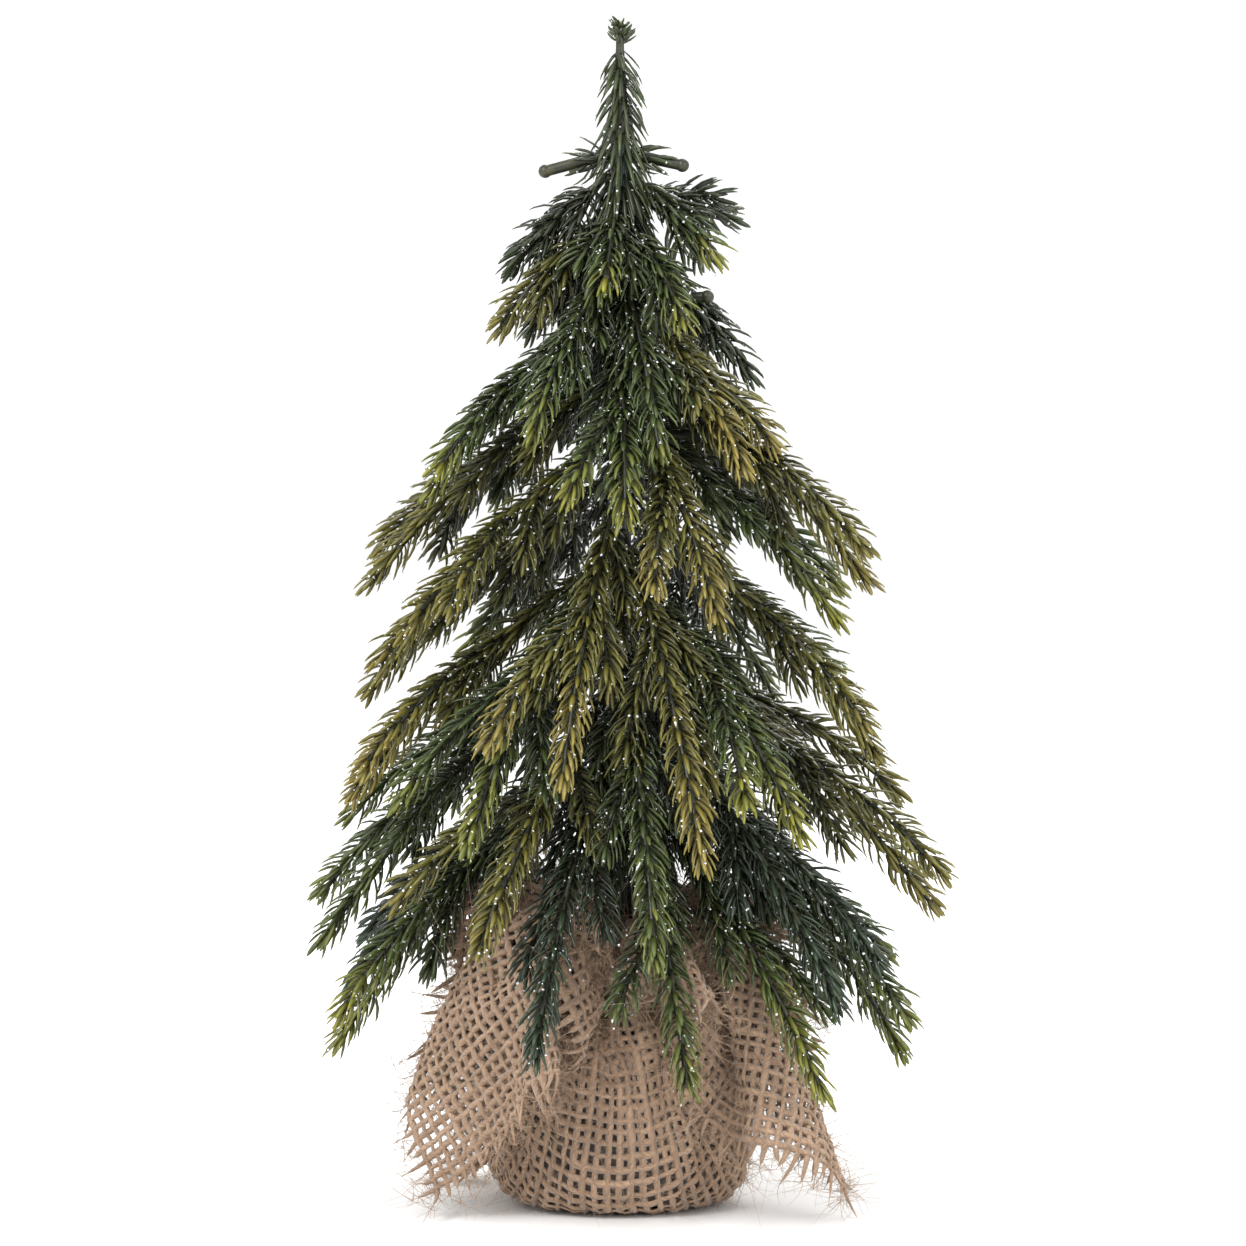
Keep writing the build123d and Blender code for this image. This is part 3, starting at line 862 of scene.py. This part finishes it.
def jute_material(name, light, dark, stretch):
    """Jute: long fibre streaks and a slow change of colour along each yarn, from the UV bands."""
    made, tree, shader, node = material(name)
    split = node("ShaderNodeSeparateXYZ", Vector=node("ShaderNodeUVMap", uv_map="OFBake").outputs[0])
    along = math_node(node, "MULTIPLY", split.outputs[0], stretch)
    band = math_node(node, "MULTIPLY", split.outputs[1], UV_BANDS)
    twist = math_node(node, "ADD", math_node(node, "MULTIPLY", split.outputs[1], UV_BANDS * 4), along)
    place = node("ShaderNodeCombineXYZ", X=math_node(node, "MULTIPLY", along, 0.35), Y=twist).outputs[0]
    fibre = node("ShaderNodeTexNoise", Vector=place, Scale=2.2, Detail=5.0, Roughness=0.65)
    slow_place = node("ShaderNodeCombineXYZ", X=math_node(node, "MULTIPLY", along, 0.06), Y=band).outputs[0]
    slow = node("ShaderNodeTexNoise", Vector=slow_place, Scale=1.3, Detail=2.0)
    between = tuple((a + b) / 2 for a, b in zip(light, dark))
    colour = ramp(node, fibre.outputs["Fac"], [(0.28, dark), (0.5, between), (0.72, light)])
    shade = ramp(node, slow.outputs["Fac"], [(0.3, (0.72, 0.69, 0.66)), (0.7, (1.14, 1.12, 1.1))])
    tree.links.new(mixed(node, 1.0, colour, shade, "MULTIPLY"), shader.inputs["Base Color"])
    bump = node("ShaderNodeBump", Height=fibre.outputs["Fac"], Strength=0.6, Distance=0.00015)
    tree.links.new(bump.outputs[0], shader.inputs["Normal"])
    shader.inputs["Roughness"].default_value = 0.9
    shader.inputs["Specular IOR Level"].default_value = 0.25
    shader.inputs["Sheen Weight"].default_value = 0.35
    shader.inputs["Sheen Roughness"].default_value = 0.5
    return made


cloth_points = gathered_cloth()
yarn_parts, yarn_centres, yarn_normals = woven(cloth_points)
burlap_jute = jute_material("burlap_jute", linear(190, 162, 136), linear(116, 92, 74), 200.0)
verts, quads, uvs, index = joined([(*part, 0) for part in yarn_parts])
verts[:, 2] = np.maximum(verts[:, 2], 0.02)
burlap = new_mesh("burlap_cloth", verts, quads, uvs)
burlap.data.materials.append(burlap_jute)
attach(burlap, "stand")
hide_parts("burlap_wrap")

FUZZ_PIECES = 2
FUZZ_COUNT = 10000
FUZZ_RADIUS = 0.065
FLECKS_ON_CLOTH = 130
END_SHARE = 3.0
flat_centres, flat_normals = yarn_centres.reshape(-1, 3), yarn_normals.reshape(-1, 3)
outside = np.hypot(flat_centres[:, 0], flat_centres[:, 1]) > 12
hairy = np.flatnonzero(outside & (flat_centres[:, 2] > 2.5))
run_places = np.linspace(-CLOTH_HALF, CLOTH_HALF, yarn_centres.shape[2])[hairy % yarn_centres.shape[2]]
weights = np.where(np.abs(run_places) > CLOTH_HALF - FRINGE - 1, END_SHARE, 1.0)
weights /= weights.sum()
fibre_jute = jute_material("burlap_fibre", linear(200, 172, 140), linear(150, 120, 94), 3.0)
for k in range(FUZZ_PIECES):
    picked = rng.choice(hairy, FUZZ_COUNT, p=weights)
    outward = flat_normals[picked] * np.where(rng.random(FUZZ_COUNT) < 0.5, 1, -1)[:, None]
    lengths = rng.gamma(3.0, 0.8, FUZZ_COUNT) + 0.8
    directions = unit(outward + rng.normal(0, 0.9, (FUZZ_COUNT, 3)))
    fibres = hairs(flat_centres[picked], directions, lengths, FUZZ_RADIUS, 0.6)
    flecked = rng.choice(hairy, FLECKS_ON_CLOTH)
    facing = flat_normals[flecked] * np.where(rng.random(FLECKS_ON_CLOTH) < 0.5, 1, -1)[:, None]
    sizes = FLAKE_RADIUS * rng.uniform(0.5, 1.0, FLECKS_ON_CLOTH)
    flecks = flake_arrays(flat_centres[flecked] + facing * YARN_THICKNESS * 0.6, facing, sizes)
    verts, quads, uvs, index = joined([(*fibres, 0), (*flecks, 1)])
    verts[:, 2] = np.maximum(verts[:, 2], 0.05)
    fuzz = new_mesh(f"burlap_fuzz_{k + 1}", verts, quads, uvs, index)
    fuzz.data.materials.append(fibre_jute)
    fuzz.data.materials.append(glitter)
    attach(fuzz, "stand")

# ---- neck twine: two turns of two-ply jute round the gathers, with a knot and two short ends -------
TWINE_RADIUS = 0.7
TWINE_POINTS = 144
PLY_TURN = 2.6                   # length of half a twist of the two plies
KNOT_AZIMUTH = 150
tie_low, tie_high = (np.array(corner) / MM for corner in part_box("neck_tie"))
tie_height = (tie_low[2] + tie_high[2]) / 2
near_tie = flat_centres[(np.abs(flat_centres[:, 2] - tie_height) < 1.6)]
near_tie = near_tie[np.hypot(near_tie[:, 0], near_tie[:, 1]) < 12.5]
tie_angle = np.linspace(0, 2 * math.pi, TWINE_POINTS, endpoint=False)


def bundle_radius():
    """Outline of the gathered neck at the twine, smoothed as a tight string would."""
    azimuth = np.arctan2(near_tie[:, 1], near_tie[:, 0])
    reach = np.hypot(near_tie[:, 0], near_tie[:, 1])
    found = []
    for angle in tie_angle:
        apart = np.abs((azimuth - angle + math.pi) % (2 * math.pi) - math.pi)
        close = reach[apart < 0.2]
        found.append(np.percentile(close, 85) if len(close) else 8.0)
    wrapped = np.concatenate([found, found, found])
    window = 19
    smooth = np.convolve(wrapped, np.ones(window) / window, mode="same")
    return smooth[TWINE_POINTS : 2 * TWINE_POINTS] + TWINE_RADIUS * 0.6


def ply_tubes(path):
    """Two plies twisted round a path of points."""
    tangent = unit(np.gradient(path, axis=0))
    side = unit(np.cross(tangent, (0.0, 0.0, 1.0)))
    top = np.cross(side, tangent)
    travelled = np.concatenate([[0], np.cumsum(np.linalg.norm(np.diff(path, axis=0), axis=1))])
    parts = []
    for ply in (0, 1):
        turn = travelled / PLY_TURN * math.pi + ply * math.pi
        offset = (np.cos(turn)[:, None] * side + np.sin(turn)[:, None] * top) * TWINE_RADIUS * 0.48
        thick = np.full((1, len(path)), TWINE_RADIUS * 0.56)
        parts.append(tubes((path + offset)[None], side[None], top[None], thick, thick, 8, 0, 1))
    return parts


outline = bundle_radius()
knot_angle = math.radians(KNOT_AZIMUTH)
laps = np.arange(2 * TWINE_POINTS + 10)
lap_angle = laps * 2 * math.pi / TWINE_POINTS + knot_angle
full_circle, full_outline = np.append(tie_angle, 2 * math.pi), np.append(outline, outline[0])
lap_radius = np.interp(lap_angle % (2 * math.pi), full_circle, full_outline)
lap_height = tie_height - TWINE_RADIUS + laps / len(laps) * TWINE_RADIUS * 2.4
twine_path = np.stack([lap_radius * np.cos(lap_angle), lap_radius * np.sin(lap_angle), lap_height], axis=-1)
fine = np.linspace(0, len(laps) - 1, len(laps) * 3)
twine_path = np.stack([np.interp(fine, laps, twine_path[:, k]) for k in range(3)], axis=-1)
knot_reach = outline[TWINE_POINTS * KNOT_AZIMUTH // 360] + 1.2
knot = np.array([math.cos(knot_angle) * knot_reach, math.sin(knot_angle) * knot_reach, tie_height])
knot_turn = np.linspace(0, 2.6 * math.pi, 40)
knot_rise = np.linspace(-1.1, 1.1, 40) + 0.3 * np.sin(2 * knot_turn)
knot_path = knot + np.stack([np.cos(knot_turn) * 1.1, np.sin(knot_turn) * 1.1, knot_rise], axis=-1)
tails = []
for lean, drop in ((-0.5, 13.0), (0.35, 10.0)):
    step = np.linspace(0, 1, 30)[:, None]
    away = np.array([math.cos(knot_angle + lean), math.sin(knot_angle + lean), 0.0])
    tails.append(knot + away * 7 * step**0.7 - np.array([0, 0, drop]) * step**1.7)
twine_parts = []
for path in (twine_path, knot_path, *tails):
    twine_parts += [(*part, 0) for part in ply_tubes(path)]
verts, quads, uvs, index = joined(twine_parts)
twine = new_mesh("neck_twine", verts, quads, uvs)
twine.data.materials.append(jute_material("twine_jute", linear(186, 150, 112), linear(118, 86, 60), 60.0))
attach(twine, "stand")
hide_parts("neck_tie")

# ---- floor, light and camera ------------------------------------------------------------------------
CAMERA_DISTANCE = 1000.0
CAMERA_ELEVATION = math.radians(4.0)
VIEW_CENTRE = (0.5, 0.0, 97.8)
VIEW_HEIGHT = 209.3
SENSOR_MM = 36.0

FLOOR_HALF = 3.0                 # metres
floor_mesh = bpy.data.meshes.new("floor")
floor_corners = [(x * FLOOR_HALF, y * FLOOR_HALF, 0) for x, y in ((-1, -1), (1, -1), (1, 1), (-1, 1))]
floor_mesh.from_pydata(floor_corners, [], [(0, 1, 2, 3)])
floor = bpy.data.objects.new("floor", floor_mesh)
bpy.context.scene.collection.objects.link(floor)
floor_paint, _, floor_shader, _ = material("floor_paint")
floor_shader.inputs["Base Color"].default_value = (0.9, 0.9, 0.9, 1.0)
floor_shader.inputs["Roughness"].default_value = 0.8
floor_mesh.materials.append(floor_paint)

world = bpy.data.worlds.new("studio")
bpy.context.scene.world = world
world.use_nodes = True
world.node_tree.nodes["Background"].inputs["Color"].default_value = (1.0, 1.0, 1.0, 1.0)
world.node_tree.nodes["Background"].inputs["Strength"].default_value = 1.1
bpy.context.scene.view_settings.view_transform = "Standard"


def softbox(name, place, aim, size, power):
    """Square area light, placed and aimed in metres."""
    data = bpy.data.lights.new(name, "AREA")
    data.shape = "SQUARE"
    data.size = size
    data.energy = power
    lamp = bpy.data.objects.new(name, data)
    lamp.location = place
    direction = np.array(aim) - np.array(place)
    lamp.rotation_euler = Vector(direction).to_track_quat("-Z", "Y").to_euler()
    bpy.context.scene.collection.objects.link(lamp)


softbox("key", (-0.45, -0.6, 0.75), (0, 0, 0.09), 0.35, 7.0)
softbox("fill", (0.6, -0.5, 0.45), (0, 0, 0.09), 0.4, 3.0)
softbox("back", (0.2, 0.6, 0.6), (0, 0, 0.1), 0.4, 3.0)

camera_data = bpy.data.cameras.new("camera")
camera_data.sensor_width = SENSOR_MM
camera_data.lens = SENSOR_MM / 2 / (VIEW_HEIGHT / 2 / CAMERA_DISTANCE)
camera_data.clip_start = 0.01
camera = bpy.data.objects.new("camera", camera_data)
centre = Vector(VIEW_CENTRE) * MM
back = Vector((0, -math.cos(CAMERA_ELEVATION), math.sin(CAMERA_ELEVATION)))
camera.location = centre + back * CAMERA_DISTANCE * MM
camera.rotation_euler = (-back).to_track_quat("-Z", "Y").to_euler()
bpy.context.scene.collection.objects.link(camera)
bpy.context.scene.camera = camera
